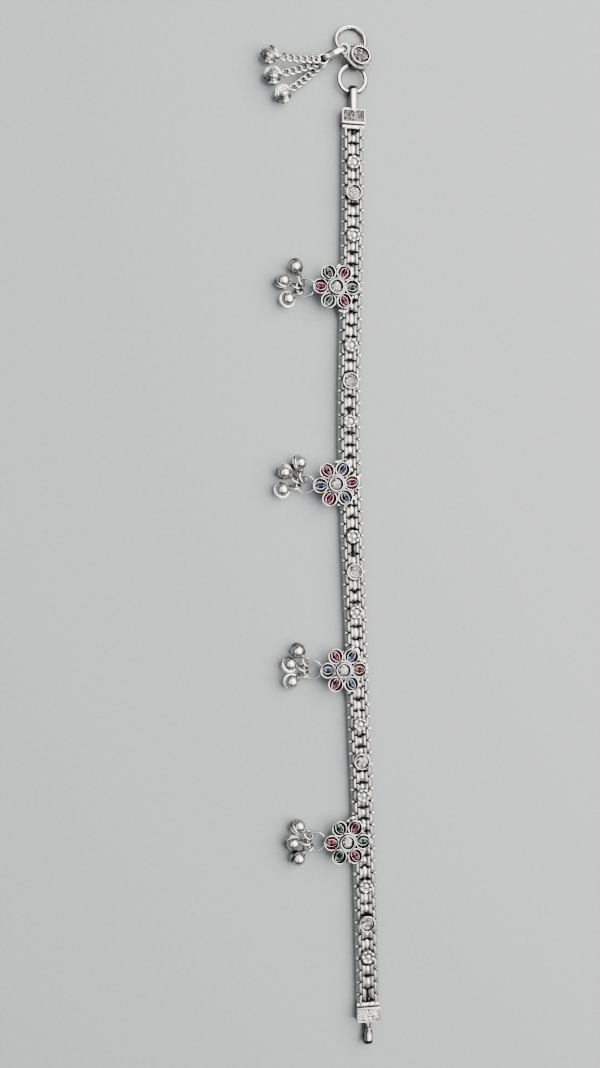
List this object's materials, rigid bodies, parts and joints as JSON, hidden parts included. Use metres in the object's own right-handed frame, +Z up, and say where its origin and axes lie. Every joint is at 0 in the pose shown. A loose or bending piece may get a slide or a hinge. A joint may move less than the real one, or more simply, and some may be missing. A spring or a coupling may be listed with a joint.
{
  "type": "payal anklet",
  "caption": "Silver payal ankle chain laid open: two-strand box-chain band with set studs and flowers, bells on drop rings, hook, ring clasp and bell tassel.",
  "frame": {"origin": "centre of the whole anklet's box, on the surface it lies on", "axes": "+Y along the laid-open band towards the ring clasp, -X towards the bells, +Z up from the surface, out of the stones' faces"},
  "size_m": [0.0314, 0.2662, 0.0052],
  "materials": {
    "silver": "polished silver, darker in its recesses",
    "clear": "faceted clear stone",
    "red": "faceted red stone",
    "green": "faceted green stone",
    "blue": "faceted blue stone"
  },
  "bodies": {
    "root": {"band": "silver", "end_cap_ring_side": "silver", "end_cap_hook_side": "silver", "flower_setting_1": "silver", "centre_stone_1": "clear", "red_stone_1_1": "red", "green_stone_1_2": "green", "red_stone_1_3": "red", "green_stone_1_4": "green", "red_stone_1_5": "red", "green_stone_1_6": "green", "drop_ring_1": "silver", "bell_1_1": "silver", "bell_1_2": "silver", "bell_1_3": "silver", "flower_setting_2": "silver", "centre_stone_2": "clear", "blue_stone_2_1": "blue", "red_stone_2_2": "red", "blue_stone_2_3": "blue", "red_stone_2_4": "red", "blue_stone_2_5": "blue", "red_stone_2_6": "red", "drop_ring_2": "silver", "bell_2_1": "silver", "bell_2_2": "silver", "bell_2_3": "silver", "flower_setting_3": "silver", "centre_stone_3": "clear", "blue_stone_3_1": "blue", "red_stone_3_2": "red", "blue_stone_3_3": "blue", "red_stone_3_4": "red", "blue_stone_3_5": "blue", "red_stone_3_6": "red", "drop_ring_3": "silver", "bell_3_1": "silver", "bell_3_2": "silver", "bell_3_3": "silver", "flower_setting_4": "silver", "centre_stone_4": "clear", "red_stone_4_1": "red", "green_stone_4_2": "green", "red_stone_4_3": "red", "green_stone_4_4": "green", "red_stone_4_5": "red", "green_stone_4_6": "green", "drop_ring_4": "silver", "bell_4_1": "silver", "bell_4_2": "silver", "bell_4_3": "silver", "clasp_ring_lower": "silver", "clasp_ring_upper": "silver", "clasp_plaque": "silver", "clasp_stone": "clear", "tassel_ring": "silver", "tassel_chain_1": "silver", "tassel_chain_2": "silver", "tassel_chain_3": "silver"}
  },
  "joints": []
}
